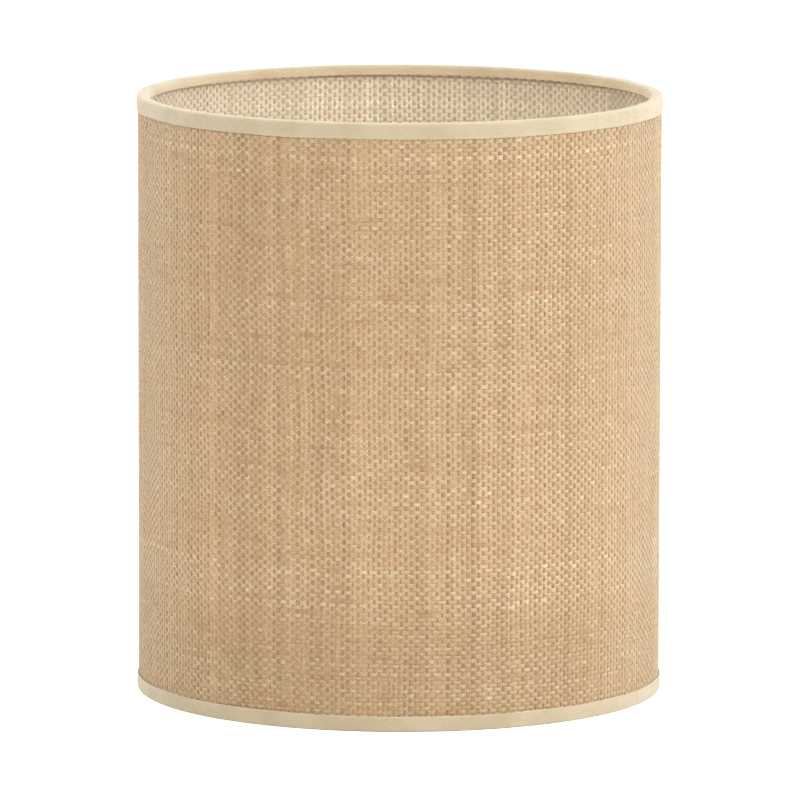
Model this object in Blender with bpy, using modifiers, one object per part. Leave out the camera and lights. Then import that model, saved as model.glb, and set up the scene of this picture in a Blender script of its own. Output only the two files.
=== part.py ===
"""Drum lamp shade: woven raffia over a film liner, taped onto two wire rings, with a three-armed lamp fitter.

Metres, +Z up. The origin is the centre of the lower rim, in the plane that the shade stands on.
Every ring-shaped piece is cut into the same flats round the drum, so that neighbours stay parallel.
"""

import math

import bmesh
import bpy

MM = 0.001

# Overall size
OUTER_RADIUS = 110 * MM
HEIGHT = 251 * MM
FLATS = 90  # flats round the drum
FLAT_ANGLE = math.tau / FLATS

# Sheet, tape and wire stock
GAP = 0.2 * MM  # clearance between neighbouring layers
TAPE = 0.4 * MM
COVER = 0.8 * MM
LINER = 0.3 * MM
SEAM_TAPE = 0.2 * MM
WIRE_RADIUS = 1.5 * MM

# Radii of the layers of the wall, from the outside in
COVER_OUTER = OUTER_RADIUS - TAPE - GAP
LINER_OUTER = COVER_OUTER - COVER - GAP
WIRE_CENTRE = LINER_OUTER - LINER - GAP - WIRE_RADIUS
WIRE_LEVEL = TAPE + GAP + WIRE_RADIUS  # from each rim to the wire's centre
CUT_EDGE = 1.1 * MM  # from each rim to the cut edge of the cover and liner

# Edge tape
TAPE_DROP = 6.5 * MM  # height on the outside of the drum
TAPE_CORNER = 1.0 * MM
TAPE_TUCK = 1.0 * MM  # run of the tucked end past the wire's centre

# Lap of the cover, in flats round the drum
LAP_INNER_END = 9  # edge seen from inside, 36 degrees from +X
LAP_OUTER_END = 7  # edge seen from outside, 28 degrees from +X
LAP_RAMP = 2  # flats over which the outer layer climbs onto the inner one
LAP_RISE = COVER + 2 * GAP + SEAM_TAPE
SEAM_TAPE_INSET = 0.15  # from each cloth edge, in flats

# Lamp fitter
BORE_RADIUS = 21 * MM
FITTER_RADIUS = 27.5 * MM
FITTER_TOP = 18 * MM
FITTER_SKIRT = 5 * MM
FITTER_SHEET = 1.2 * MM
FITTER_BEND = 1.0 * MM
FITTER_STEPS = 60
ARM_ANGLES = [math.radians(a) for a in (90, 210, 330)]
ARM_RADIUS = 1.5 * MM
ARM_POINTS = 13
WELD_GAP = 0.3 * MM
SLIT_HALF_WIDTH = 1.9 * MM
SLIT_BOTTOM = 1.2 * MM

WELD_DISTANCE = 0.00005


def reset_scene():
    """Removes every object and returns new collections for the parts and for the cutters."""
    for thing in list(bpy.data.objects):
        bpy.data.objects.remove(thing)
    parts = bpy.data.collections.new("lamp_shade")
    cutters = bpy.data.collections.new("cutters")
    for group in (parts, cutters):
        bpy.context.scene.collection.children.link(group)
    return parts, cutters


def coated(name, colour, roughness, metallic=0.0):
    """A plain Principled material."""
    material = bpy.data.materials.new(name)
    material.use_nodes = True
    shader = material.node_tree.nodes["Principled BSDF"]
    shader.inputs["Base Color"].default_value = (*colour, 1.0)
    shader.inputs["Roughness"].default_value = roughness
    shader.inputs["Metallic"].default_value = metallic
    return material


def add(name, data, material, group):
    """Links a named object for this mesh or curve to the collection."""
    if material:
        data.materials.append(material)
    thing = bpy.data.objects.new(name, data)
    group.objects.link(thing)
    return thing


def smooth(mesh, angle=35):
    """Smooth shading, with edges sharper than the angle kept crisp."""
    mesh.shade_smooth()
    mesh.set_sharp_from_angle(angle=math.radians(angle))


def on_drum(flat, radius, z):
    """The point this many flats round from +X, on the polygon whose corners lie at radius."""
    angle = flat * FLAT_ANGLE
    off_middle = (flat % 1 - 0.5) * FLAT_ANGLE
    reach = radius * math.cos(FLAT_ANGLE / 2) / math.cos(off_middle)
    return reach * math.cos(angle), reach * math.sin(angle), z


def bent_sheet(name, columns, rows, place, thickness, material, group):
    """A flat grid of cells bent by place(column, row) and thickened evenly to both sides."""
    bm = bmesh.new()
    bmesh.ops.create_grid(bm, x_segments=columns, y_segments=rows, size=0.5)
    for corner in bm.verts:
        column = round((corner.co.x + 0.5) * columns)
        row = round((corner.co.y + 0.5) * rows)
        corner.co = place(column, row)
    bmesh.ops.remove_doubles(bm, verts=bm.verts, dist=WELD_DISTANCE)
    bmesh.ops.recalc_face_normals(bm, faces=bm.faces)
    mesh = bpy.data.meshes.new(name)
    bm.to_mesh(mesh)
    bm.free()
    sheet = add(name, mesh, material, group)
    shell = sheet.modifiers.new("thickness", "SOLIDIFY")
    shell.thickness = thickness
    shell.offset = 0
    shell.use_even_offset = True
    smooth(mesh)
    return sheet


def lap_share(flat):
    """How far the cover's outer layer stands off at this flat: 0 on the drum, 1 over the lap."""
    flat %= FLATS
    before = (LAP_INNER_END + LAP_RAMP - flat) / LAP_RAMP
    after = flat - (LAP_OUTER_END - 1)
    return max(0.0, min(1.0, before, after))


def raffia_cover(material, group):
    """The cloth starts at the lap's inner end, goes once round and climbs over its own start."""
    turns = FLATS + LAP_INNER_END - LAP_OUTER_END
    middle = COVER_OUTER - COVER / 2

    def place(column, row):
        flat = LAP_INNER_END - column
        climbed = min(1.0, max(0.0, (column - FLATS + LAP_RAMP) / LAP_RAMP))
        z = (CUT_EDGE, HEIGHT - CUT_EDGE)[row]
        return on_drum(flat, middle + climbed * LAP_RISE, z)

    bent_sheet("raffia_cover", turns, 1, place, COVER, material, group)


def film_liner(material, group):
    """A single turn of film whose ends meet edge to edge behind the cover's inner end."""
    middle = LINER_OUTER - LINER / 2
    slit = 0.06  # half the opening between the two ends, in flats

    def place(column, row):
        flat = LAP_INNER_END - min(max(column, slit), FLATS - slit)
        z = (CUT_EDGE, HEIGHT - CUT_EDGE)[row]
        return on_drum(flat, middle, z)

    bent_sheet("film_liner", FLATS, 1, place, LINER, material, group)


def seam_tape(material, group):
    """A strip of adhesive tape between the two layers of the lap."""
    middle = COVER_OUTER + GAP + SEAM_TAPE / 2
    flats = (
        LAP_OUTER_END + SEAM_TAPE_INSET,
        (LAP_INNER_END + LAP_OUTER_END) / 2,
        LAP_INNER_END - SEAM_TAPE_INSET,
    )

    def place(column, row):
        return on_drum(flats[column], middle, (CUT_EDGE, HEIGHT - CUT_EDGE)[row])

    bent_sheet("seam_tape", len(flats) - 1, 1, place, SEAM_TAPE, material, group)


def tape_section():
    """The folded tape's middle line as (radius, depth below the rim, whether it rides over the lap)."""
    outside = OUTER_RADIUS - TAPE / 2
    crest = TAPE / 2
    corner = outside - TAPE_CORNER
    wrap = WIRE_RADIUS + GAP + TAPE / 2
    line = [(outside, TAPE_DROP, True)]
    for turn in (0, 45, 90):
        a = math.radians(turn)
        line.append((corner + TAPE_CORNER * math.cos(a), crest + TAPE_CORNER * (1 - math.sin(a)), True))
    for turn in (90, 135, 180, 225, 270):
        a = math.radians(turn)
        line.append((WIRE_CENTRE + wrap * math.cos(a), WIRE_LEVEL - wrap * math.sin(a), False))
    line.append((WIRE_CENTRE + TAPE_TUCK, WIRE_LEVEL + wrap, False))
    return line


def edge_tape(name, at_top, material, group):
    """Tape folded over the rim: down the outside, over the crest, round the wire and tucked behind it."""
    section = tape_section()

    def place(column, row):
        radius, depth, over_lap = section[row]
        rise = lap_share(column) * LAP_RISE if over_lap else 0.0
        return on_drum(column, radius + rise, HEIGHT - depth if at_top else depth)

    return bent_sheet(name, FLATS, len(section) - 1, place, TAPE, material, group)


def arm_slits(tape, group):
    """Cuts a slit in the tape's inner fold for each arm to pass through."""
    inner, outer, top = OUTER_RADIUS * 0.9, LINER_OUTER - LINER - GAP, 2 * TAPE_DROP
    for number, angle in enumerate(ARM_ANGLES, 1):
        bm = bmesh.new()
        bmesh.ops.create_cube(bm, size=1.0)
        mesh = bpy.data.meshes.new("slit")
        bm.to_mesh(mesh)
        bm.free()
        cutter = add(f"slit_{number}", mesh, None, group)
        cutter.scale = (outer - inner, 2 * SLIT_HALF_WIDTH, top - SLIT_BOTTOM)
        middle = (outer + inner) / 2
        cutter.location = (
            middle * math.cos(angle),
            middle * math.sin(angle),
            (top + SLIT_BOTTOM) / 2,
        )
        cutter.rotation_euler = (0, 0, angle)
        cutter.hide_render = True
        cutter.display_type = "WIRE"
        cut = tape.modifiers.new(cutter.name, "BOOLEAN")
        cut.operation = "DIFFERENCE"
        cut.solver = "EXACT"
        cut.object = cutter


def wire_ring(name, level, material, group):
    """A butt-welded ring of round wire."""
    bpy.ops.mesh.primitive_torus_add(
        major_segments=FLATS,
        minor_segments=8,
        major_radius=WIRE_CENTRE,
        minor_radius=WIRE_RADIUS,
        location=(0, 0, level),
    )
    ring = bpy.context.object
    ring.name = ring.data.name = name
    ring.data.materials.append(material)
    for holder in list(ring.users_collection):
        holder.objects.unlink(ring)
    group.objects.link(ring)
    smooth(ring.data, 60)


def fitter_arm(name, angle, material, group):
    """A round wire that leaves the lower ring level, rises in a smooth S and meets the fitter's skirt level."""
    start = WIRE_CENTRE - WIRE_RADIUS - WELD_GAP - GAP
    end = FITTER_RADIUS + WELD_GAP
    finish = FITTER_TOP - FITTER_SKIRT / 2
    curve = bpy.data.curves.new(name, "CURVE")
    curve.dimensions = "3D"
    curve.bevel_depth = ARM_RADIUS
    curve.bevel_resolution = 2
    curve.use_fill_caps = True
    spline = curve.splines.new("POLY")
    spline.points.add(ARM_POINTS - 1)
    for index, point in enumerate(spline.points):
        share = index / (ARM_POINTS - 1)
        reach = start + (end - start) * share
        eased = (1 - math.cos(math.pi * share)) / 2
        z = WIRE_LEVEL + (finish - WIRE_LEVEL) * eased
        point.co = (reach * math.cos(angle), reach * math.sin(angle), z, 1)
    add(name, curve, material, group)


def fitter_ring(material, group):
    """A pressed ring: a flat washer round the bore with its outer edge turned down into a skirt."""
    bend = FITTER_RADIUS - FITTER_BEND
    section = [(BORE_RADIUS, FITTER_TOP)]
    for turn in (90, 45, 0):
        a = math.radians(turn)
        section.append((bend + FITTER_BEND * math.cos(a), FITTER_TOP - FITTER_BEND * (1 - math.sin(a))))
    section += [
        (FITTER_RADIUS, FITTER_TOP - FITTER_SKIRT),
        (FITTER_RADIUS - FITTER_SHEET, FITTER_TOP - FITTER_SKIRT),
        (FITTER_RADIUS - FITTER_SHEET, FITTER_TOP - FITTER_SHEET),
        (BORE_RADIUS, FITTER_TOP - FITTER_SHEET),
    ]
    count = len(section)
    mesh = bpy.data.meshes.new("fitter_ring")
    mesh.from_pydata([(x, 0, z) for x, z in section], [(i, (i + 1) % count) for i in range(count)], [])
    ring = add("fitter_ring", mesh, material, group)
    turn = ring.modifiers.new("turn", "SCREW")
    turn.steps = turn.render_steps = FITTER_STEPS
    turn.use_merge_vertices = True
    turn.merge_threshold = WELD_DISTANCE
    turn.use_smooth_shade = False


def build():
    parts, cutters = reset_scene()
    raffia = coated("raffia", (0.58, 0.37, 0.19), 0.8)
    film = coated("liner film", (0.85, 0.82, 0.76), 0.45)
    adhesive = coated("adhesive tape", (0.78, 0.74, 0.66), 0.5)
    cotton = coated("cotton tape", (0.80, 0.72, 0.55), 0.85)
    steel = coated("bright steel wire", (0.60, 0.59, 0.57), 0.35, 1.0)
    enamel = coated("white coated steel", (0.82, 0.81, 0.78), 0.4)

    raffia_cover(raffia, parts)
    film_liner(film, parts)
    seam_tape(adhesive, parts)
    wire_ring("top_wire_ring", HEIGHT - WIRE_LEVEL, steel, parts)
    wire_ring("bottom_wire_ring", WIRE_LEVEL, steel, parts)
    edge_tape("top_edge_tape", True, cotton, parts)
    arm_slits(edge_tape("bottom_edge_tape", False, cotton, parts), cutters)
    for number, angle in enumerate(ARM_ANGLES, 1):
        fitter_arm(f"fitter_arm_{number}", angle, enamel, parts)
    fitter_ring(enamel, parts)


build()
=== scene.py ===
"""Looks of a drum lamp shade: woven raffia on a film liner, cotton tape over wire rings, and a fitter.

Metres, +Z up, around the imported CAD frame. Every new piece is a closed tube: a profile carried along a
path, worked out with numpy as points[tube, station, corner]. Paths round the drum run anticlockwise seen
from above, and profiles run top, outside, bottom, inside, so faces point outwards.
"""

import math

import bpy
import numpy as np
from bpy.props import FloatProperty, FloatVectorProperty, IntProperty, PointerProperty
from mathutils import Matrix, Vector


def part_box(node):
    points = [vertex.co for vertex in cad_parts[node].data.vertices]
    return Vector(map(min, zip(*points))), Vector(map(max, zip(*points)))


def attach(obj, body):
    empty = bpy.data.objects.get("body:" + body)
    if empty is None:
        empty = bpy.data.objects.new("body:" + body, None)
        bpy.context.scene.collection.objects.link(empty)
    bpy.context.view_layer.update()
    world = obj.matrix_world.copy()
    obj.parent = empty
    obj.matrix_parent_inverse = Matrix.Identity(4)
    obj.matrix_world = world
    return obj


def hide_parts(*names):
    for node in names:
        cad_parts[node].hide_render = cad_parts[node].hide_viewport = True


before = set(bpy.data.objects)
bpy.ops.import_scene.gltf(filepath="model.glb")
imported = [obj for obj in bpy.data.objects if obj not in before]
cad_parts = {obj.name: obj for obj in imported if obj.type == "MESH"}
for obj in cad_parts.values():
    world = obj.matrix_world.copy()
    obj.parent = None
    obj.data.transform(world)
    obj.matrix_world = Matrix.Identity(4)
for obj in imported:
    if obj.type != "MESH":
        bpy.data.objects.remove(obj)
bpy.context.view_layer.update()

bl_info = {
    "name": "Raffia Drum Shade",
    "version": (1, 0, 0),
    "blender": (4, 5, 0),
    "location": "3D View > Sidebar > Shade",
    "description": "Weaves a drum lamp shade's raffia cover and finishes its liner, tapes and fitter",
    "category": "Object",
}

MM = 0.001

# Radii and levels of the layers, read from the frame
OUTER_RADIUS = float(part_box("top_edge_tape")[1][0])
SHADE_HEIGHT = float(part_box("top_edge_tape")[1][2])
TAPE_DROP = float(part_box("bottom_edge_tape")[1][2])
COVER_OUTER = float(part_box("raffia_cover")[1][0])
COVER_BOTTOM, COVER_TOP = (float(corner[2]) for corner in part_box("raffia_cover"))
LINER_OUTER = float(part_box("film_liner")[1][0])
RING_LOW, RING_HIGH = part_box("bottom_wire_ring")
WIRE_RADIUS = float(RING_HIGH[2] - RING_LOW[2]) / 2
WIRE_CENTRE = float(RING_HIGH[0]) - WIRE_RADIUS
WIRE_LEVEL = float(RING_HIGH[2]) - WIRE_RADIUS
FITTER_LOW, FITTER_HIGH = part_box("fitter_ring")
FITTER_RADIUS = float(FITTER_HIGH[0])

# Thicknesses and clearances of the sheet stock
CLOTH = 0.8 * MM
FILM = 0.3 * MM
TAPE = 0.4 * MM
CLEARANCE = 0.2 * MM
COVER_MIDDLE = COVER_OUTER - CLOTH / 2

# The edge tape's fold, and how far its tucked end runs past the wire's centre
TAPE_CORNER = 1.0 * MM
TAPE_TUCK = 1.0 * MM
TAPE_MIDDLE = OUTER_RADIUS - TAPE / 2
WRAP = WIRE_RADIUS + CLEARANCE + TAPE / 2

# A tape's stations along it and places across it, and the extra stations within this angle of each arm
TAPE_STATIONS = 600
TAPE_PLACES = 60
NOTCH_STATIONS = 50
NOTCH_REACH = 0.04

# The cover's lap: its outer end lies over its inner end, and it comes down to the drum over a ramp.
# The tapes climb onto it over a foot.
LAP_OUTER_END = math.radians(28)
LAP_INNER_END = math.radians(36)
LAP_RAMP = math.radians(8)
LAP_FOOT = math.radians(4)
LAP_RISE = 1.4 * MM
COVER_TURN = math.tau + LAP_INNER_END - LAP_OUTER_END
CLOTH_LENGTH = COVER_TURN * COVER_MIDDLE

# Half the angle that is left between the film's ends
LINER_HALF_GAP = 0.24 / 360 * math.tau

# A yarn's section: where its corners lie across and outwards, anticlockwise as its path is met head on.
# It is a flat strip, a little narrower outside, as split leaf is where it is pressed by its neighbours.
STRIP_ACROSS = np.array([1.0, 0.84, -0.84, -1.0])
STRIP_OUTWARD = np.array([-0.6, 1.0, 1.0, -0.6])

# The yarns: the cloth's bare cut edge, their sideways wander, the widest that one gets, its share of its
# width where it lies under, and how far apart two lie in their material's pattern
CUT_EDGE = 0.45 * MM
YARN_WANDER = 0.30 * MM
WIDEST_YARN = 1.9 * MM
UNDER_WIDTH = 0.95
PATTERN_STEP = 7.3

# The arms' directions, the angle of the rings' welds and half the angle of the stations added there,
# and how far a weld bead reaches and stands up
ARM_ANGLES = {f"fitter_arm_{n}": math.radians(a) for n, a in ((1, 90), (2, 210), (3, 330))}
RING_WELD = 2.0
WELD_SPAN = 0.03
BEAD_REACH = 0.9 * MM
RING_BEAD = 0.12 * MM
ARM_BEAD = 0.35 * MM

# The camera's lens and sensor in millimetres, its shift, and its roll
LENS = 417.0
SENSOR = 36.0
SHIFT = (0.0009, -0.01205)
ROLL = math.radians(0.12)

# The floor's side, how far it glows to the camera, and the sky's strength as seen and as light
FLOOR_SIDE = 30.0
FLOOR_GLOW = 0.75
SKY_SEEN = 1.6
SKY_FILL = 1.05

# Square soft boxes that face the middle of the shade: name, place, side, power and colour.
# The one inside the drum stands for the daylight that cloth this thin lets through.
SOFT_BOXES = (
    ("key", (1.7, -0.95, 0.8), 1.2, 13.5, (0.97, 1.0, 1.0)),
    ("front", (0.5, -1.4, 1.6), 2.4, 5.5, (1.0, 0.99, 0.97)),
    ("overhead", (0.0, 0.2, 2.2), 1.6, 1.5, (1.0, 1.0, 1.0)),
    ("backdrop", (0.0, 2.2, 0.5), 2.5, 16.0, (1.0, 1.0, 1.0)),
    ("inside", (0.0, 0.0, 0.03), 0.12, 0.25, (1.0, 0.95, 0.9)),
)


# Small helpers


def hex_colour(text):
    """A "#rrggbb" sRGB colour as linear red, green, blue."""
    value = np.array([int(text[i : i + 2], 16) for i in (1, 3, 5)]) / 255
    linear = np.where(value <= 0.04045, value / 12.92, ((value + 0.055) / 1.055) ** 2.4)
    return tuple(float(x) for x in linear)


def length_setting(name, description, millimetres):
    """A length that the panel shows, given in millimetres."""
    default = millimetres * MM
    return FloatProperty(name=name, description=description, default=default, unit="LENGTH", precision=5)


def share_setting(name, description, value):
    """A share or factor that the panel shows."""
    return FloatProperty(name=name, description=description, default=value, subtype="FACTOR")


def colour_setting(name, description, text):
    """A colour that the panel shows, given as "#rrggbb"."""
    default = hex_colour(text)
    return FloatVectorProperty(name=name, description=description, default=default, subtype="COLOR")


def add_node(tree, kind, inputs=None, stops=None, **settings):
    """Adds a node with these settings.

    inputs maps a socket to a value or to another node's output. stops are a ramp's marks: (place, colour).
    """
    node = tree.nodes.new("ShaderNode" + kind)
    for name, value in settings.items():
        setattr(node, name, value)
    for socket, value in (inputs or {}).items():
        if isinstance(value, bpy.types.NodeSocket):
            tree.links.new(value, node.inputs[socket])
        else:
            node.inputs[socket].default_value = value
    if stops:
        marks = node.color_ramp.elements
        while len(marks) < len(stops):
            marks.new(0.5)
        for mark, (place, colour) in zip(marks, stops):
            mark.position = place
            mark.color = (*colour, 1.0)
    return node


def new_material(name):
    """An empty material, and its node tree."""
    material = bpy.data.materials.new(name)
    material.use_nodes = True
    tree = material.node_tree
    tree.nodes.clear()
    return material, tree


def finish_material(tree, shader):
    """Joins the shader node to the material's output."""
    add_node(tree, "OutputMaterial", {"Surface": shader.outputs[0]})


def unevenness(seed, along, across, length, spread, waves=7):
    """Smooth unevenness of about -1 to 1.

    It is a sum of sines of random phase and slope, about a length apart along and a spread apart across.
    """
    rng = np.random.default_rng(seed)
    total = 0.0
    for _ in range(waves):
        turns, drift = rng.uniform(0.5, 1.6) / length, rng.uniform(-1.0, 1.0) / spread
        total = total + np.sin(math.tau * (turns * along + drift * across + rng.uniform()))
    return total / math.sqrt(waves)


def swept_mesh(name, points, loop=False):
    """Makes one closed tube for each row of points[tube, station, corner, xyz].

    Quads join each corner to the next corner and to the same corner of the next station. A loop's last
    station joins its first; otherwise both ends are capped. The bake map lays the tubes one above another,
    with stations along it and corners up it.
    """
    tubes, stations, corners = points.shape[:3]
    index = np.arange(tubes * stations * corners, dtype=np.int32).reshape(tubes, stations, corners)
    here, ahead = (index, np.roll(index, -1, 1)) if loop else (index[:, :-1], index[:, 1:])
    spans = here.shape[1]
    quads = np.stack([here, np.roll(here, -1, 2), np.roll(ahead, -1, 2), ahead], -1)
    tube, span, corner = np.meshgrid(np.arange(tubes), np.arange(spans), np.arange(corners), indexing="ij")
    low, high = (tube + corner / corners) / tubes, (tube + (corner + 1) / corners) / tubes
    left, right = span / spans, (span + 1) / spans
    places = np.stack([left, low, left, high, right, high, right, low], -1).reshape(-1, 2)
    corner_index = quads.ravel()
    starts = np.arange(quads.size // 4) * 4
    totals = np.full(quads.size // 4, 4)
    if not loop:
        caps = np.concatenate([index[:, 0, ::-1], index[:, -1]])
        cap_places = np.repeat((np.arange(len(caps)) % tubes + 0.5) / tubes, corners)
        cap_ends = np.repeat(np.repeat([0.0, 1.0], tubes), corners)
        places = np.concatenate([places, np.stack([cap_ends, cap_places], -1)])
        starts = np.concatenate([starts, quads.size + np.arange(len(caps)) * corners])
        totals = np.concatenate([totals, np.full(len(caps), corners)])
        corner_index = np.concatenate([corner_index, caps.ravel()])
    mesh = bpy.data.meshes.new(name)
    mesh.vertices.add(index.size)
    mesh.vertices.foreach_set("co", points.astype(np.float32).ravel())
    mesh.loops.add(len(corner_index))
    mesh.loops.foreach_set("vertex_index", corner_index.astype(np.int32))
    mesh.polygons.add(len(starts))
    mesh.polygons.foreach_set("loop_start", starts.astype(np.int32))
    mesh.polygons.foreach_set("loop_total", totals.astype(np.int32))
    mesh.polygons.foreach_set("use_smooth", np.ones(len(starts), bool))
    mesh.uv_layers.new(name="OFBake").uv.foreach_set("vector", places.astype(np.float32).ravel())
    mesh.update(calc_edges=True)
    return mesh


def add_attribute(mesh, name, kind, values):
    """Stores one value or vector for each point of the mesh, for its material to read."""
    key = "vector" if kind == "FLOAT_VECTOR" else "value"
    mesh.attributes.new(name, kind, "POINT").data.foreach_set(key, values.astype(np.float32).ravel())


def add_piece(mesh, material, slot, *nodes):
    """Links the mesh as a piece of the shade that stands for these CAD nodes."""
    mesh.materials.append(material)
    piece = bpy.data.objects.new(mesh.name, mesh)
    bpy.context.scene.collection.objects.link(piece)
    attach(piece, "root")
    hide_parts(*nodes)
    return piece


def polar(radius, angle, z):
    """Points at this radius, angle and height, from arrays that broadcast together."""
    radius, angle, z = np.broadcast_arrays(radius, angle, z)
    return np.stack([radius * np.cos(angle), radius * np.sin(angle), z], -1)


def eased(share):
    """0 below 0, 1 above 1, and a smooth S between."""
    share = np.clip(share, 0.0, 1.0)
    return share * share * (3 - 2 * share)


# Weave


def cloth_radius(run):
    """Radius of the cloth's middle: the drum's, but raised at its outer end, over its own inner end."""
    angle = LAP_OUTER_END + run / COVER_MIDDLE
    return COVER_MIDDLE + LAP_RISE * eased((LAP_INNER_END + LAP_RAMP - angle) / LAP_RAMP)


def on_cloth(run, height, lift):
    """Points this far along the cloth from its outer end, at this height, lifted off its middle."""
    return polar(cloth_radius(run) + lift, LAP_OUTER_END + run / COVER_MIDDLE, height)


def down_cloth(height, run, lift):
    """on_cloth, with the place along an upright yarn given first."""
    return on_cloth(run, height, lift)


def yarn_places(seed, first, last, pitch, jitter):
    """Even places from first to last, about a pitch apart, each moved by a random share of the pitch."""
    count = round((last - first) / pitch)
    places = first + (np.arange(count) + 0.5) * (last - first) / count
    moves = np.random.default_rng(seed).normal(0, jitter * pitch, count)
    return places + moves.clip(-0.3 * pitch, 0.3 * pitch)


def yarn_widths(seed, count, usual, spread):
    """Widths of the yarns: usual, times a random share of 0.72 to 1.3, or 1.3 to 1.5 for three in 100."""
    rng = np.random.default_rng(seed)
    share = rng.normal(1.0, spread, count).clip(0.72, 1.3)
    thick = rng.random(count) < 0.03
    share[thick] = rng.uniform(1.3, 1.5, thick.sum())
    return usual * share


def slubs(seed, stations, yarns, chance, reach):
    """Thick, dark patches: bell curves at random places on each yarn, about chance of them on a yarn.

    Each reaches this many stations both ways.
    """
    rng = np.random.default_rng(seed)
    found = rng.random((yarns, stations)) < chance / stations
    taps = np.exp(-np.linspace(-2, 2, 2 * reach + 1) ** 2)
    spikes = (found * rng.uniform(0.4, 1.0, found.shape)).ravel()
    return np.convolve(spikes, taps, "same").reshape(found.shape).clip(0, 1)


def halfway(values):
    """The values with the mean of each neighbouring pair set between them, along the last axis."""
    between = (values[..., 1:] + values[..., :-1]) / 2
    mixed = np.empty(values.shape[:-1] + (2 * values.shape[-1] - 1,))
    mixed[..., ::2], mixed[..., 1::2] = values, between
    return mixed


def with_ends(values, first, last):
    """The values with a first and a last one added along the last axis."""
    before, after = (np.full((*values.shape[:-1], 1), float(end)) for end in (first, last))
    return np.concatenate([before, values, after], -1)


def cloth_plan(cloth):
    """Where the yarns lie: runs of the warps and heights of the wefts."""
    low, high = COVER_BOTTOM + CUT_EDGE, COVER_TOP - CUT_EDGE
    runs = yarn_places(11, CUT_EDGE, CLOTH_LENGTH - CUT_EDGE, cloth.warp_pitch, cloth.jitter)
    heights = yarn_places(12, low, high, cloth.weft_pitch, cloth.jitter)
    return runs, heights


def warp_shift(runs, heights):
    """Sideways wander of the warps, shared by neighbours."""
    return YARN_WANDER * unevenness(21, heights, runs, length=90 * MM, spread=25 * MM)


def weft_shift(runs, heights):
    """Up and down wander of the wefts, shared by neighbours."""
    return YARN_WANDER * unevenness(22, runs, heights, length=120 * MM, spread=30 * MM)


def woven_tubes(crimp, thickness, lengthwise, crosswise, widths, over, place, slub, spread=1.0):
    """One tube for each yarn, over and under the yarns that it crosses.

    lengthwise[yarn, crossing] is the place along the yarn and crosswise[yarn, crossing] the one across it.
    Stations lie at each crossing, where the yarn is fully over (+1) or under (-1), and midway, where it
    passes through the cloth. It is spread times as wide where it is over, and a slub widens and thickens it.
    """
    wave = halfway(over * crimp)
    along = halfway(lengthwise)
    middle = halfway(crosswise)
    crest = halfway(np.where(over > 0, spread, UNDER_WIDTH))
    crest[:, 1::2] = (spread + UNDER_WIDTH) / 2
    swelling = halfway(slub)
    width = np.minimum(widths[:, None] * crest * (1 + 0.35 * swelling), WIDEST_YARN) / 2
    thick = thickness / 2 * (1 + 0.2 * swelling)
    side = middle[..., None] + width[..., None] * STRIP_ACROSS
    lift = wave[..., None] + thick[..., None] * STRIP_OUTWARD
    forward = np.broadcast_to(along[..., None], side.shape)
    return place(forward, side, lift), side - middle[..., None], forward


def yarn_tone(seed, yarns, stations, slub, own_share, drift_share, fleck_share, window=9):
    """How light each yarn is along its length: its own tone, a slow drift, flecks, and dark slubs.

    Its own tone is partly shared with its neighbours, as a mean over a window of them.
    """
    rng = np.random.default_rng(seed)
    own = rng.normal(0, 1, yarns)
    nearby = rng.normal(0, 1, yarns + window - 1)
    own = 0.8 * own + 0.6 * np.convolve(nearby, np.full(window, 1 / math.sqrt(window)), "valid")
    place = np.arange(stations)[None]
    drift = unevenness(seed + 1, place, 40.0 * np.arange(yarns)[:, None], length=60.0, spread=90.0)
    fleck = rng.normal(0, 1, (yarns, stations))
    uneven = own_share * own[:, None] + drift_share * drift + fleck_share * fleck
    return (0.5 + uneven - 0.25 * slub).clip(0, 1)


def painted_shade_and_backlight(tone, darker, paler):
    """Tone at each corner of a yarn's section: painted shade outside at each station, painted backlight
    inside.
    """
    outward = STRIP_OUTWARD.clip(0, 1)
    return tone[..., None] - np.multiply.outer(darker, outward) + paler * (1 - outward)


def raffia_material(name, dark, middle, light):
    """Raffia, split leaf fibre, plain woven: matt with a faint waxy sheen, streaked along each yarn.

    The fibres are about 0.1 mm wide, too fine to show, so the streaks are drawn three times as coarse.
    """
    material, tree = new_material(name)
    tone = add_node(tree, "Attribute", attribute_name="tone")
    thread = add_node(tree, "Attribute", attribute_name="thread")
    grain = (1 / (6 * MM), 1 / (0.3 * MM), 1.0)
    stretch = add_node(tree, "Mapping", {"Vector": thread.outputs["Vector"], "Scale": grain})
    streak = add_node(
        tree, "TexNoise", {"Vector": stretch.outputs[0], "Scale": 1.0, "Detail": 2.0, "Roughness": 0.6}
    )
    spread = add_node(
        tree,
        "MapRange",
        {"Value": streak.outputs[0], "From Min": 0.3, "From Max": 0.7, "To Min": -0.22, "To Max": 0.22},
    )
    mixed = add_node(tree, "Math", {0: tone.outputs["Fac"], 1: spread.outputs[0]}, operation="ADD")
    colour = add_node(
        tree,
        "ValToRGB",
        {"Fac": mixed.outputs[0]},
        stops=[(0.0, dark), (0.5, middle), (1.0, light)],
    )
    bump = add_node(tree, "Bump", {"Height": streak.outputs[0], "Strength": 0.5, "Distance": 0.08 * MM})
    shader = add_node(
        tree,
        "BsdfPrincipled",
        {
            "Base Color": colour.outputs[0],
            "Normal": bump.outputs[0],
            "Roughness": 0.62,
            "Specular IOR Level": 0.4,
            "Subsurface Weight": 1.0,
            "Subsurface Radius": (1.0, 0.9, 0.8),
            "Subsurface Scale": 1.4 * MM,
            "Sheen Weight": 0.8,
            "Sheen Roughness": 0.3,
        },
    )
    finish_material(tree, shader)
    return material


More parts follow.
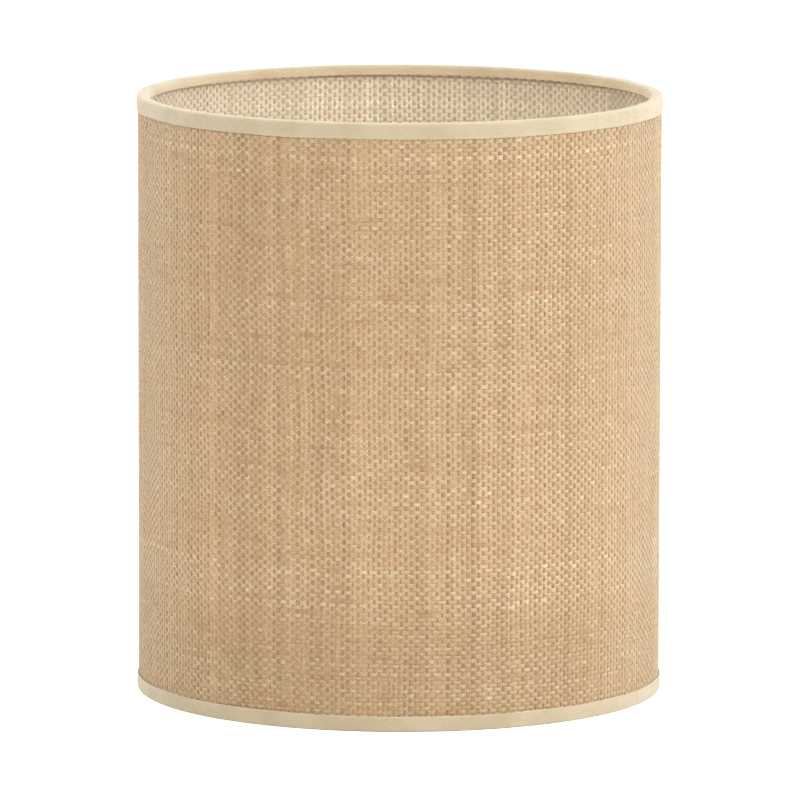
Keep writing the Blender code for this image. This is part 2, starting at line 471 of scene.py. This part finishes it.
class ClothSettings(bpy.types.PropertyGroup):
    """Sizes and colours of the raffia cloth."""

    warp_pitch: length_setting("Warp spacing", "Upright yarns, centre to centre", 2.16)
    weft_pitch: length_setting("Weft spacing", "Level yarns, centre to centre", 1.77)
    warp_width: length_setting("Warp width", "Usual width of an upright yarn", 1.45)
    weft_width: length_setting("Weft width", "Usual width of a level yarn", 1.7)
    warp_thickness: length_setting("Warp thickness", "Thickness of an upright yarn", 0.5)
    weft_thickness: length_setting("Weft thickness", "Thickness of a level yarn", 0.4)
    warp_crimp: length_setting("Warp crimp", "How far upright yarns wave in and out", 0.32)
    weft_crimp: length_setting("Weft crimp", "How far level yarns wave in and out", 0.24)
    jitter: share_setting("Jitter", "Random move of each yarn, as a share of the spacing", 0.04)
    warp_dark: colour_setting("Warp dark", "Darkest warp yarns", "#946f49")
    warp_middle: colour_setting("Warp middle", "Usual warp yarns", "#b3946a")
    warp_light: colour_setting("Warp light", "Lightest warp yarns", "#e2bc8e")
    weft_dark: colour_setting("Weft dark", "Darkest weft yarns", "#b48b66")
    weft_middle: colour_setting("Weft middle", "Usual weft yarns", "#caad8b")
    weft_light: colour_setting("Weft light", "Lightest weft yarns", "#fae9d2")
    warp_spread: share_setting("Warp spread", "Width of upright yarns where they lie on top", 1.1)
    # Painted shade: level yarns are drawn darker on their outside where they dip between the upright yarns.
    painted_dip_shade: share_setting("Dip shade", "How much darker level yarns are where they pass through", 0.14)
    # Painted backlight: yarns are drawn paler on their inside, for light that shines through the thin cloth.
    weft_painted_backlight: share_setting("Weft inside", "How much paler level yarns are on the inside", 0.6)
    warp_painted_backlight: share_setting("Warp inside", "How much paler upright yarns are on the inside", 0.5)
    bands: IntProperty(name="Pieces", description="Pieces that each set of yarns makes", default=4, min=1)


class SHADE_OT_weft(bpy.types.Operator):
    """Lay the level yarns, in bands from the lower rim to the top"""

    bl_idname = "shade.weft"
    bl_label = "Weft"

    def execute(self, context):
        cloth = context.scene.shade_cloth
        runs, heights = cloth_plan(cloth)
        crossing = np.arange(len(runs))
        yarn = np.arange(len(heights))
        over = np.where((crossing[None] + yarn[:, None]) % 2 == 0, 1.0, -1.0)
        over = with_ends(over, 0, 0)
        run = np.broadcast_to(with_ends(runs, 0.0, CLOTH_LENGTH), over.shape)
        slub = slubs(31, run.shape[1], len(yarn), chance=2.5, reach=4)
        centre = heights[:, None] + weft_shift(run, heights[:, None])
        widths = yarn_widths(32, len(yarn), cloth.weft_width, spread=0.07)
        points, across, along = woven_tubes(
            cloth.weft_crimp, cloth.weft_thickness, run, centre, widths, over, on_cloth, slub
        )
        # Painted shade: each level yarn's outside is drawn darker at its midway stations, where it dips
        # through the cloth.
        painted_dip = np.arange(points.shape[1]) % 2 * cloth.painted_dip_shade
        tone = yarn_tone(
            33, len(yarn), run.shape[1], slub, own_share=0.04, drift_share=0.03, fleck_share=0.06
        )
        # Painted backlight: the inside of each level yarn is drawn paler.
        tone = painted_shade_and_backlight(halfway(tone), painted_dip, cloth.weft_painted_backlight)
        material = raffia_material("Woven raffia weft", cloth.weft_dark, cloth.weft_middle, cloth.weft_light)
        pieces = add_yarns("raffia_weft", points, across, along, tone, material, cloth.bands)
        return {"FINISHED"}


class SHADE_OT_warp(bpy.types.Operator):
    """Set the upright yarns, in quarters round the drum"""

    bl_idname = "shade.warp"
    bl_label = "Warp"

    def execute(self, context):
        cloth = context.scene.shade_cloth
        runs, heights = cloth_plan(cloth)
        downward = heights[::-1]
        crossing = np.arange(len(heights))[::-1]
        yarn = np.arange(len(runs))
        over = np.where((crossing[None] + yarn[:, None]) % 2 == 0, -1.0, 1.0)
        over = with_ends(over, 0, 0)
        height = np.broadcast_to(with_ends(downward, COVER_TOP, COVER_BOTTOM), over.shape)
        slub = slubs(41, height.shape[1], len(yarn), chance=0.8, reach=3)
        centre = runs[:, None] + warp_shift(runs[:, None], height)
        widths = yarn_widths(42, len(yarn), cloth.warp_width, spread=0.16)
        points, across, along = woven_tubes(
            cloth.warp_crimp,
            cloth.warp_thickness,
            height,
            centre,
            widths,
            over,
            down_cloth,
            slub,
            cloth.warp_spread,
        )
        tone = yarn_tone(
            43, len(yarn), height.shape[1], slub, own_share=0.07, drift_share=0.04, fleck_share=0.05
        )
        # Painted backlight: the inside of each upright yarn is drawn paler.
        tone = painted_shade_and_backlight(halfway(tone), 0.0, cloth.warp_painted_backlight)
        material = raffia_material("Woven raffia warp", cloth.warp_dark, cloth.warp_middle, cloth.warp_light)
        pieces = add_yarns("raffia_warp", points, across, along, tone, material, cloth.bands)
        return {"FINISHED"}


def add_yarns(name, points, across, along, tone, material, pieces):
    """Splits the yarns into pieces in order, and gives each point its tone and its place on its yarn."""
    number = np.broadcast_to(np.arange(len(points))[:, None, None] * PATTERN_STEP, across.shape)
    thread = np.stack([along, across, number], -1)
    made = []
    for part, rows in enumerate(np.array_split(np.arange(len(points)), pieces), 1):
        mesh = swept_mesh(f"{name}_{part}", points[rows])
        add_attribute(mesh, "thread", "FLOAT_VECTOR", thread[rows])
        add_attribute(mesh, "tone", "FLOAT", tone[rows])
        made.append(add_piece(mesh, material, "raffia", "raffia_cover"))
    return made


# Liner and seam tape


def film_material(colour, clearness):
    """Frosted PVC film, calendered: a pale, slightly uneven haze, clear enough to show the weave behind."""
    material, tree = new_material("Frosted PVC film")
    place = add_node(tree, "TexCoord")
    haze = add_node(
        tree,
        "TexNoise",
        {"Vector": place.outputs["Object"], "Scale": 1 / (9 * MM), "Detail": 3.0, "Roughness": 0.5},
    )
    tint = add_node(
        tree,
        "ValToRGB",
        {"Fac": haze.outputs[0]},
        stops=[(0.3, tuple(0.94 * c for c in colour)), (0.7, tuple(colour))],
    )
    bump = add_node(tree, "Bump", {"Height": haze.outputs[0], "Strength": 0.2, "Distance": 0.1 * MM})
    shader = add_node(
        tree,
        "BsdfPrincipled",
        {
            "Base Color": tint.outputs[0],
            "Normal": bump.outputs[0],
            "Roughness": 0.45,
            "Subsurface Weight": 1.0,
            "Subsurface Radius": (1.0, 0.9, 0.75),
            "Subsurface Scale": 1.5 * MM,
            "Alpha": 1 - clearness,
        },
    )
    finish_material(tree, shader)
    return material


class FilmSettings(bpy.types.PropertyGroup):
    """The liner and the seam tape."""

    colour: colour_setting("Film", "Colour of the film's haze", "#f3e2c8")
    clearness: share_setting("Clearness", "Share of light that passes straight through", 0.92)
    adhesive: colour_setting("Adhesive", "Colour of the lap's adhesive tape", "#d8ccb6")


class SHADE_OT_liner(bpy.types.Operator):
    """Roll the film liner, whose ends meet behind the cloth's inner end, and finish the lap's seam tape"""

    bl_idname = "shade.liner"
    bl_label = "Liner"

    def execute(self, context):
        film = context.scene.shade_film
        angle = LAP_INNER_END + np.linspace(LINER_HALF_GAP, math.tau - LINER_HALF_GAP, 361)
        radius = np.array([LINER_OUTER - FILM, LINER_OUTER, LINER_OUTER, LINER_OUTER - FILM])
        height = np.array([COVER_TOP, COVER_TOP, COVER_BOTTOM, COVER_BOTTOM])
        mesh = swept_mesh("film_liner_sheet", polar(radius, angle[:, None], height)[None])
        piece = add_piece(mesh, film_material(film.colour, film.clearness), "liner_film", "film_liner")
        mesh.set_sharp_from_angle(angle=math.radians(40))
        give_material("seam_tape", adhesive_material(film.adhesive))
        return {"FINISHED"}


# Edge tapes


def lap_share(angle):
    """How far the cover's outer layer stands off the drum at this angle: 0 on the drum, 1 over the lap."""
    before = eased((LAP_INNER_END + LAP_RAMP - angle) / LAP_RAMP)
    after = eased((angle - LAP_OUTER_END + LAP_FOOT) / LAP_FOOT)
    return np.minimum(before, after)


def arc(centre, radius, start, end, count):
    """Points round a centre from one angle to another, in degrees."""
    turn = np.radians(np.linspace(start, end, count))
    return np.stack([centre[0] + radius * np.cos(turn), centre[1] + radius * np.sin(turn)], -1)


def fold_line():
    """The folded tape's middle, as radius and depth below the rim, and its count of points before the wire.

    It goes from the band's edge up the outside, over the rim, round the wire, and back under it.
    """
    corner = (TAPE_MIDDLE - TAPE_CORNER, TAPE / 2 + TAPE_CORNER)
    wire = (WIRE_CENTRE, WIRE_LEVEL)
    outside = np.stack([np.full(12, TAPE_MIDDLE), np.linspace(TAPE_DROP, corner[1], 12)], -1)
    over_rim = arc(corner, TAPE_CORNER, 0, -90, 10)[1:]
    tuck_radius = np.linspace(WIRE_CENTRE, WIRE_CENTRE + TAPE_TUCK, 4)
    tuck = np.stack([tuck_radius, np.full(4, WIRE_LEVEL + WRAP)], -1)
    line = np.concatenate([outside, over_rim, arc(wire, WRAP, 270, 90, 40), tuck[1:]])
    return line, len(outside) + len(over_rim)


def edge_tape(name, at_top, tape, seam_angle, material):
    """A strip of tape carried round the drum: its folded section, thickened both ways, with rounded edges.

    It starts and ends at seam_angle, where its last stretch lies over its first. Over the lap it stands off
    with the cover. The lower one's inner edge is notched at each arm: there the fold ends short of the arm.
    """
    turn = np.linspace(0, math.tau + tape.overlap / TAPE_MIDDLE, TAPE_STATIONS)
    if not at_top:
        near = [np.linspace(a - NOTCH_REACH, a + NOTCH_REACH, NOTCH_STATIONS) for a in ARM_ANGLES.values()]
        turn = np.sort(np.concatenate([turn, (np.concatenate(near) - seam_angle) % math.tau]))
    angle = (seam_angle + turn)[:, None]
    edge = 0.12 * MM * unevenness(51 + at_top, angle * TAPE_MIDDLE, 0.0, length=60 * MM, spread=1.0)
    inner_edge = 0.25 * MM * unevenness(53 + at_top, angle * TAPE_MIDDLE, 0.0, length=25 * MM, spread=1.0)

    line, before_wire = fold_line()
    run = np.concatenate([[0.0], np.cumsum(np.hypot(*np.diff(line, axis=0).T))])
    finish = run[-1] + inner_edge
    if not at_top:
        bare = run[before_wire] + (run[-1] - run[before_wire]) * tape.notch_keep
        for arm in ARM_ANGLES.values():
            off = np.abs((angle - arm + math.pi) % math.tau - math.pi) * WIRE_CENTRE
            finish = bare + (finish - bare) * eased((off - tape.notch / 2) / (0.6 * MM) + 1)
    share = np.linspace(0, 1, TAPE_PLACES)
    place = edge + (finish - edge) * share
    radius = np.interp(place, run, line[:, 0])
    depth = np.interp(place, run, line[:, 1]) - np.minimum(place, 0)

    # The fold's direction is its change over a short stretch both ways, and its normal is square to that.
    stretch = 0.15 * MM
    both_ways = (place + stretch, place - stretch)
    ahead, behind = ([np.interp(way, run, part) for part in line.T] for way in both_ways)
    along_radius, along_depth = ahead[0] - behind[0], ahead[1] - behind[1]
    size = np.hypot(along_radius, along_depth).clip(1e-9)
    normal_radius, normal_depth = -along_depth / size, along_radius / size

    # Over the first stretch the tape is pressed in by its own thickness, to make room for the last one.
    pressed = 1.05 * TAPE * (1 - eased((turn[:, None] * TAPE_MIDDLE - tape.overlap) / (2 * MM)))
    lift = lap_share(np.mod(angle, math.tau)) * LAP_RISE
    lift = lift * eased((radius - WIRE_CENTRE) / (TAPE_MIDDLE - WIRE_CENTRE))
    puff = tape.puff * eased((place - 1.0 * MM) / (2 * MM)) * eased((TAPE_DROP - place) / (3 * MM))
    offset = puff - pressed

    # Both edges are rounded over a share of the width.
    rounded = 0.015
    taper = np.sqrt(1 - (np.clip(np.abs(share - 0.5) - (0.5 - rounded), 0, rounded) / rounded) ** 2)
    faces = []
    for side in (TAPE / 2, -TAPE / 2):
        face_radius = radius + lift + (offset + side * taper) * normal_radius
        face_depth = depth + (offset + side * taper) * normal_depth
        faces.append((face_radius, face_depth, place))
    radius, depth, across = (np.concatenate([outer, inner[:, ::-1]], 1) for outer, inner in zip(*faces))

    # It stays just inside the shade's height.
    depth = depth.clip(0.02 * MM)
    height = SHADE_HEIGHT - depth if at_top else depth
    if at_top:
        radius, height, across = (part[:, ::-1] for part in (radius, height, across))
    mesh = swept_mesh(name, polar(radius, angle, height)[None])
    thread = np.stack(np.broadcast_arrays(angle * TAPE_MIDDLE, across, 0.0), -1)
    add_attribute(mesh, "thread", "FLOAT_VECTOR", thread)
    mesh.set_sharp_from_angle(angle=math.radians(60))
    node = "top_edge_tape" if at_top else "bottom_edge_tape"
    piece = add_piece(mesh, material, "cotton_tape", node)


def cotton_material(tape):
    """Cotton tape, plain woven and glued down: matt, slightly uneven in tone, with a faint fuzz.

    Its threads are about 0.25 mm apart, too fine to show, so they are drawn about twice as far apart.
    """
    material, tree = new_material("Cotton tape")
    thread = add_node(tree, "Attribute", attribute_name="thread")
    turns = math.tau / tape.thread_pitch
    split = add_node(tree, "SeparateXYZ", {0: thread.outputs["Vector"]})
    waves = []
    for axis in (0, 1):
        scaled = add_node(tree, "Math", {0: split.outputs[axis], 1: turns / 2}, operation="MULTIPLY")
        waves.append(add_node(tree, "Math", {0: scaled.outputs[0]}, operation="SINE"))
    crossing = add_node(tree, "Math", {0: waves[0].outputs[0], 1: waves[1].outputs[0]}, operation="MULTIPLY")
    grain = (1 / (3 * MM), 1 / (0.5 * MM), 1.0)
    stretch = add_node(tree, "Mapping", {"Vector": thread.outputs["Vector"], "Scale": grain})
    slub = add_node(
        tree, "TexNoise", {"Vector": stretch.outputs[0], "Scale": 1.0, "Detail": 3.0, "Roughness": 0.6}
    )
    place = add_node(tree, "TexCoord").outputs["Object"]
    patch = add_node(tree, "TexNoise", {"Vector": place, "Scale": 1 / (14 * MM), "Detail": 2.0})
    uneven = add_node(tree, "Math", {0: slub.outputs[0], 1: patch.outputs[0]}, operation="ADD")
    height = add_node(
        tree, "Math", {0: crossing.outputs[0], 1: 0.35, 2: slub.outputs[0]}, operation="MULTIPLY_ADD"
    )
    tone = add_node(
        tree, "Math", {0: crossing.outputs[0], 1: 0.05, 2: uneven.outputs[0]}, operation="MULTIPLY_ADD"
    )
    colour = add_node(
        tree,
        "ValToRGB",
        {"Fac": tone.outputs[0]},
        stops=[(0.7, tuple(tape.dark)), (1.0, tuple(tape.colour)), (1.3, tuple(tape.light))],
    )
    bump = add_node(tree, "Bump", {"Height": height.outputs[0], "Strength": 0.35, "Distance": 0.06 * MM})
    shader = add_node(
        tree,
        "BsdfPrincipled",
        {
            "Base Color": colour.outputs[0],
            "Normal": bump.outputs[0],
            "Roughness": 0.85,
            "Specular IOR Level": 0.25,
            "Subsurface Weight": 1.0,
            "Subsurface Radius": (1.0, 0.9, 0.75),
            "Subsurface Scale": 1.2 * MM,
            "Sheen Weight": 0.15,
            "Sheen Roughness": 0.5,
        },
    )
    finish_material(tree, shader)
    return material


class TapeSettings(bpy.types.PropertyGroup):
    """The tape folded over both rims."""

    overlap: length_setting("Overlap", "Length over which the tape's ends overlap", 9)
    puff: length_setting("Puff", "How far the band stands off between its edges", 0.12)
    notch: length_setting("Notch", "Width of the notch round each arm", 4.6)
    notch_keep: share_setting("Notch depth", "Share of the wrap that is left at a notch", 0.1)
    thread_pitch: length_setting("Thread spacing", "Drawn spacing of the tape's threads", 0.55)
    dark: colour_setting("Dark", "Darker threads", "#c3b498")
    colour: colour_setting("Cotton", "Usual colour", "#c9ba9e")
    light: colour_setting("Light", "Lighter threads", "#cebfa5")


class SHADE_OT_tapes(bpy.types.Operator):
    """Fold the cotton tape over both rims and round the wire rings"""

    bl_idname = "shade.tapes"
    bl_label = "Edge tapes"

    def execute(self, context):
        tape = context.scene.shade_tape
        material = cotton_material(tape)
        edge_tape("top_tape", True, tape, math.radians(52), material)
        edge_tape("bottom_tape", False, tape, math.radians(58), material)
        return {"FINISHED"}


# Wire rings and fitter


def round_wire(path, sideways, upward, radius, corners=16):
    """Points of a round wire: circles round its path, spanned by two directions square to it."""
    turn = np.arange(corners) * math.tau / corners
    across = radius[:, None, None] * np.cos(turn)[:, None] * sideways[:, None]
    along = radius[:, None, None] * np.sin(turn)[:, None] * upward[:, None]
    return path[:, None] + across + along


def bell(distance, reach, height):
    """A bell curve of this height and reach, as a weld bead or a pressed rib has."""
    return height * np.exp(-((distance / reach) ** 2))


def steel_material():
    """Drawn steel wire, bright: satin metal with die lines along it, a little dulled by handling.

    Die lines are finer than 0.1 mm, too fine to show, so they are drawn 0.4 mm apart.
    """
    material, tree = new_material("Drawn steel wire")
    thread = add_node(tree, "Attribute", attribute_name="thread")
    grain = (1 / (20 * MM), 1 / (0.4 * MM), 1.0)
    stretch = add_node(tree, "Mapping", {"Vector": thread.outputs["Vector"], "Scale": grain})
    lines = add_node(tree, "TexNoise", {"Vector": stretch.outputs[0], "Scale": 1.0, "Detail": 3.0})
    colour = add_node(
        tree,
        "ValToRGB",
        {"Fac": lines.outputs[0]},
        stops=[(0.3, hex_colour("#a7a39c")), (0.7, hex_colour("#c9c6bf"))],
    )
    gloss = add_node(
        tree,
        "MapRange",
        {"Value": lines.outputs[0], "From Min": 0.3, "From Max": 0.7, "To Min": 0.28, "To Max": 0.42},
    )
    shader = add_node(
        tree,
        "BsdfPrincipled",
        {"Base Color": colour.outputs[0], "Metallic": 1.0, "Roughness": gloss.outputs[0]},
    )
    finish_material(tree, shader)
    return material


def powder_material(colour):
    """Powder-coated steel, sprayed and baked: satin white with the coat's soft dimples, 1.5 mm apart."""
    material, tree = new_material("Powder coated steel")
    place = add_node(tree, "TexCoord").outputs["Object"]
    dimple = add_node(tree, "TexNoise", {"Vector": place, "Scale": 1 / (1.5 * MM), "Detail": 1.0})
    patch = add_node(tree, "TexNoise", {"Vector": place, "Scale": 1 / (12 * MM), "Detail": 2.0})
    tint = add_node(
        tree,
        "ValToRGB",
        {"Fac": patch.outputs[0]},
        stops=[(0.3, tuple(0.95 * c for c in colour)), (0.7, tuple(colour))],
    )
    gloss = add_node(
        tree,
        "MapRange",
        {"Value": dimple.outputs[0], "From Min": 0.3, "From Max": 0.7, "To Min": 0.34, "To Max": 0.46},
    )
    bump = add_node(tree, "Bump", {"Height": dimple.outputs[0], "Strength": 0.25, "Distance": 0.1 * MM})
    shader = add_node(
        tree,
        "BsdfPrincipled",
        {"Base Color": tint.outputs[0], "Normal": bump.outputs[0], "Roughness": gloss.outputs[0]},
    )
    finish_material(tree, shader)
    return material


def adhesive_material(colour):
    """Double-sided adhesive tape: a dull, milky film with small trapped air patches."""
    material, tree = new_material("Adhesive tape")
    place = add_node(tree, "TexCoord").outputs["Object"]
    patch = add_node(tree, "TexNoise", {"Vector": place, "Scale": 1 / (3 * MM), "Detail": 3.0})
    tint = add_node(
        tree,
        "ValToRGB",
        {"Fac": patch.outputs[0]},
        stops=[(0.4, tuple(0.85 * c for c in colour)), (0.6, tuple(colour))],
    )
    shader = add_node(tree, "BsdfPrincipled", {"Base Color": tint.outputs[0], "Roughness": 0.55})
    finish_material(tree, shader)
    return material


def give_material(node, material):
    """Puts the material on a CAD node that stays."""
    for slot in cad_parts[node].material_slots:
        slot.material = material


class FitterSettings(bpy.types.PropertyGroup):
    """The lamp fitter."""

    bore_radius: length_setting("Bore radius", "Radius of the fitter's bore", 21)
    sheet: length_setting("Sheet", "Thickness of the fitter's sheet steel", 1.2)
    coat: colour_setting("Coat", "Colour of the powder coat", "#efede7")


class SHADE_OT_rings(bpy.types.Operator):
    """Bend and butt-weld the two wire rings"""

    bl_idname = "shade.rings"
    bl_label = "Wire rings"

    def execute(self, context):
        material = steel_material()
        near_weld = RING_WELD + np.linspace(-WELD_SPAN, WELD_SPAN, 24)
        angle = np.sort(np.concatenate([np.linspace(0, math.tau, 360, endpoint=False), near_weld]))[:, None]
        turn = -np.arange(12) * math.tau / 12
        radius = WIRE_RADIUS + bell((angle - RING_WELD) * WIRE_CENTRE, BEAD_REACH, RING_BEAD)
        rings = (
            ("top_ring_wire", "top_wire_ring", SHADE_HEIGHT - WIRE_LEVEL),
            ("bottom_ring_wire", "bottom_wire_ring", WIRE_LEVEL),
        )
        for name, node, level in rings:
            out, up = WIRE_CENTRE + radius * np.cos(turn), level + radius * np.sin(turn)
            mesh = swept_mesh(name, polar(out, angle, up)[None], loop=True)
            thread = np.stack(np.broadcast_arrays(angle * WIRE_CENTRE, -turn * WIRE_RADIUS, 0.0), -1)
            add_attribute(mesh, "thread", "FLOAT_VECTOR", thread)
            add_piece(mesh, material, "steel_wire", node)
        return {"FINISHED"}


class SHADE_OT_fitter(bpy.types.Operator):
    """Press the fitter ring and weld its three arms on"""

    bl_idname = "shade.fitter"
    bl_label = "Lamp fitter"

    def execute(self, context):
        fitter = context.scene.shade_fitter
        material = powder_material(fitter.coat)
        self.ring(fitter, material)
        for name, angle in ARM_ANGLES.items():
            self.arm(name, angle, material)
        return {"FINISHED"}

    def ring(self, fitter, material):
        """A lathe profile: rounded bore edge, washer with a pressed rib, bend, skirt with a rounded lip."""
        top, low = float(FITTER_HIGH[2]), float(FITTER_LOW[2])
        sheet, bore = fitter.sheet, fitter.bore_radius
        edge, bend, inner_bend = sheet / 2, 1.0 * MM, 0.3 * MM
        reach = np.linspace(bore + edge, FITTER_RADIUS - bend - 0.2 * MM, 24)
        rib = bell(reach - (bore + FITTER_RADIUS) / 2, 0.9 * MM, 0.35 * MM)
        upper = np.stack([reach, top - rib], -1)
        lower = np.stack([reach, top - sheet - rib], -1)[::-1]
        profile = np.concatenate(
            [
                upper,
                arc((FITTER_RADIUS - bend, top - bend), bend, 90, 0, 7),
                arc((FITTER_RADIUS - edge, low + edge), edge, 0, -180, 9),
                arc((FITTER_RADIUS - sheet - inner_bend, top - sheet - inner_bend), inner_bend, 0, 90, 4),
                lower,
                arc((bore + edge, top - edge), edge, 270, 90, 9)[1:-1],
            ]
        )
        angle = np.arange(240)[:, None] * math.tau / 240
        mesh = swept_mesh("fitter_washer", polar(profile[:, 0], angle, profile[:, 1])[None], loop=True)
        mesh.set_sharp_from_angle(angle=math.radians(50))
        add_piece(mesh, material, "coated_steel", "fitter_ring")

    def arm(self, name, angle, material, stations=90):
        """A wire from the lower ring to the skirt: level, up in a smooth S, level, with a bead at each weld.

        Its stations lie closer together near the welds.
        """
        start, end = WIRE_CENTRE - WIRE_RADIUS + 0.3 * MM, FITTER_RADIUS - 0.4 * MM
        finish = (float(FITTER_HIGH[2]) + float(FITTER_LOW[2])) / 2
        share = (1 - np.cos(np.linspace(0, math.pi, stations))) / 2
        share = 0.5 * share + 0.5 * np.linspace(0, 1, stations)
        reach = start + (end - start) * share
        rise = WIRE_LEVEL + (finish - WIRE_LEVEL) * (1 - np.cos(math.pi * share)) / 2
        outward = np.array([math.cos(angle), math.sin(angle), 0.0])
        path = reach[:, None] * outward + rise[:, None] * np.array([0.0, 0.0, 1.0])
        tangent = np.gradient(path, axis=0)
        tangent /= np.linalg.norm(tangent, axis=1, keepdims=True)
        sideways = np.broadcast_to([-math.sin(angle), math.cos(angle), 0.0], path.shape)
        upward = np.cross(sideways, tangent)
        upward *= np.sign(upward[:, 2:])
        distance = np.minimum(np.abs(reach - start), np.abs(reach - end))
        radius = WIRE_RADIUS + bell(distance, BEAD_REACH, ARM_BEAD)
        points = round_wire(path, -sideways, upward, radius)
        mesh = swept_mesh(name + "_wire", points[None])
        add_piece(mesh, material, "coated_steel", name)


# Stage


class StageSettings(bpy.types.PropertyGroup):
    """The camera and the floor."""

    distance: FloatProperty(
        name="Camera distance",
        description="From the camera to the middle of the shade",
        default=3.887,
        unit="LENGTH",
    )
    elevation: FloatProperty(
        name="Camera elevation",
        description="How far the camera looks down",
        default=math.radians(8.387),
        unit="ROTATION",
    )
    floor_colour: colour_setting("Floor", "Colour of the floor", "#f0f0ee")


def soft_box(name, place, target, side, power, colour):
    """A square soft box at place, turned to face target."""
    data = bpy.data.lights.new(name, "AREA")
    data.size = side
    data.energy = power
    data.color = colour
    lamp = bpy.data.objects.new(name, data)
    lamp.location = place
    lamp.rotation_euler = (target - Vector(place)).to_track_quat("-Z", "Y").to_euler()
    lamp.visible_camera = False
    bpy.context.scene.collection.objects.link(lamp)


class SHADE_OT_stage(bpy.types.Operator):
    """Set the pale floor, the soft lights and the camera"""

    bl_idname = "shade.stage"
    bl_label = "Stage"

    def execute(self, context):
        stage = context.scene.shade_stage
        middle = Vector((0, 0, SHADE_HEIGHT / 2))
        self.camera(context, stage, middle)
        self.floor(context, stage)
        self.sky(context)
        for name, place, side, power, colour in SOFT_BOXES:
            soft_box(name, place, middle, side, power, colour)
        context.scene.view_settings.view_transform = "Standard"
        return {"FINISHED"}

    def camera(self, context, stage, middle):
        """The camera, in front of the shade and above it, aimed at its middle."""
        data = bpy.data.cameras.new("camera")
        data.lens = LENS
        data.sensor_width = SENSOR
        data.shift_x, data.shift_y = SHIFT
        camera = bpy.data.objects.new("camera", data)
        back, rise = stage.distance * math.cos(stage.elevation), stage.distance * math.sin(stage.elevation)
        aim = Matrix.Rotation(math.pi / 2 - stage.elevation, 4, "X") @ Matrix.Rotation(ROLL, 4, "Z")
        camera.matrix_world = Matrix.Translation(middle + Vector((0, -back, rise))) @ aim
        context.scene.collection.objects.link(camera)
        context.scene.camera = camera

    def floor(self, context, stage):
        """Matt white paper. It glows only where the camera sees it directly, so it stays white there."""
        bpy.ops.mesh.primitive_plane_add(size=FLOOR_SIDE, location=(0, 0, 0))
        floor = context.object
        floor.name = "floor"
        material, tree = new_material("Matt white paper")
        seen = add_node(tree, "LightPath").outputs
        direct = add_node(tree, "Math", {0: seen["Transparent Depth"], 1: 0.5}, operation="LESS_THAN")
        camera = seen["Is Camera Ray"]
        plain = add_node(tree, "Math", {0: camera, 1: direct.outputs[0]}, operation="MULTIPLY")
        glow = add_node(tree, "Math", {0: plain.outputs[0], 1: FLOOR_GLOW}, operation="MULTIPLY")
        shader = add_node(
            tree,
            "BsdfPrincipled",
            {
                "Base Color": (*stage.floor_colour, 1.0),
                "Roughness": 0.9,
                "Specular IOR Level": 0.1,
                "Emission Color": (1.0, 1.0, 1.0, 1.0),
                "Emission Strength": glow.outputs[0],
            },
        )
        finish_material(tree, shader)
        floor.data.materials.append(material)

    def sky(self, context):
        """An even white sky: bright as the camera sees it, and softer and warmer as light."""
        world = bpy.data.worlds.new("studio")
        world.use_nodes = True
        tree = world.node_tree
        tree.nodes.clear()
        path = add_node(tree, "LightPath").outputs["Is Camera Ray"]
        seen = add_node(tree, "Background", {"Color": (1.0, 1.0, 1.0, 1.0), "Strength": SKY_SEEN})
        fill = add_node(tree, "Background", {"Color": (1.0, 0.985, 0.96, 1.0), "Strength": SKY_FILL})
        both = add_node(tree, "MixShader", {0: path, 1: fill.outputs[0], 2: seen.outputs[0]})
        add_node(tree, "OutputWorld", {"Surface": both.outputs[0]})
        context.scene.world = world


class SHADE_PT_panel(bpy.types.Panel):
    """Lists the shade's settings and the steps that make it"""

    bl_idname = "SHADE_PT_panel"
    bl_label = "Raffia Drum Shade"
    bl_space_type = "VIEW_3D"
    bl_region_type = "UI"
    bl_category = "Shade"

    def draw(self, context):
        for key in SETTINGS:
            group = getattr(context.scene, key)
            box = self.layout.box()
            for name in group.bl_rna.properties.keys():
                if name not in ("rna_type", "name"):
                    box.prop(group, name)
        for step in STEPS:
            self.layout.operator(step.bl_idname)


SETTINGS = {
    "shade_stage": StageSettings,
    "shade_cloth": ClothSettings,
    "shade_film": FilmSettings,
    "shade_tape": TapeSettings,
    "shade_fitter": FitterSettings,
}
STEPS = (
    SHADE_OT_stage,
    SHADE_OT_liner,
    SHADE_OT_weft,
    SHADE_OT_warp,
    SHADE_OT_tapes,
    SHADE_OT_rings,
    SHADE_OT_fitter,
)


def register():
    """Adds the classes, and each group of settings to the scene."""
    for kind in (*SETTINGS.values(), *STEPS, SHADE_PT_panel):
        bpy.utils.register_class(kind)
    for key, kind in SETTINGS.items():
        setattr(bpy.types.Scene, key, PointerProperty(type=kind))


def unregister():
    """Takes the settings and the classes away again."""
    for key in SETTINGS:
        delattr(bpy.types.Scene, key)
    for kind in (SHADE_PT_panel, *reversed(STEPS), *SETTINGS.values()):
        bpy.utils.unregister_class(kind)


def main():
    """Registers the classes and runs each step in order."""
    register()
    for step in STEPS:
        group, name = step.bl_idname.split(".")
        getattr(getattr(bpy.ops, group), name)()


if __name__ == "__main__":
    main()
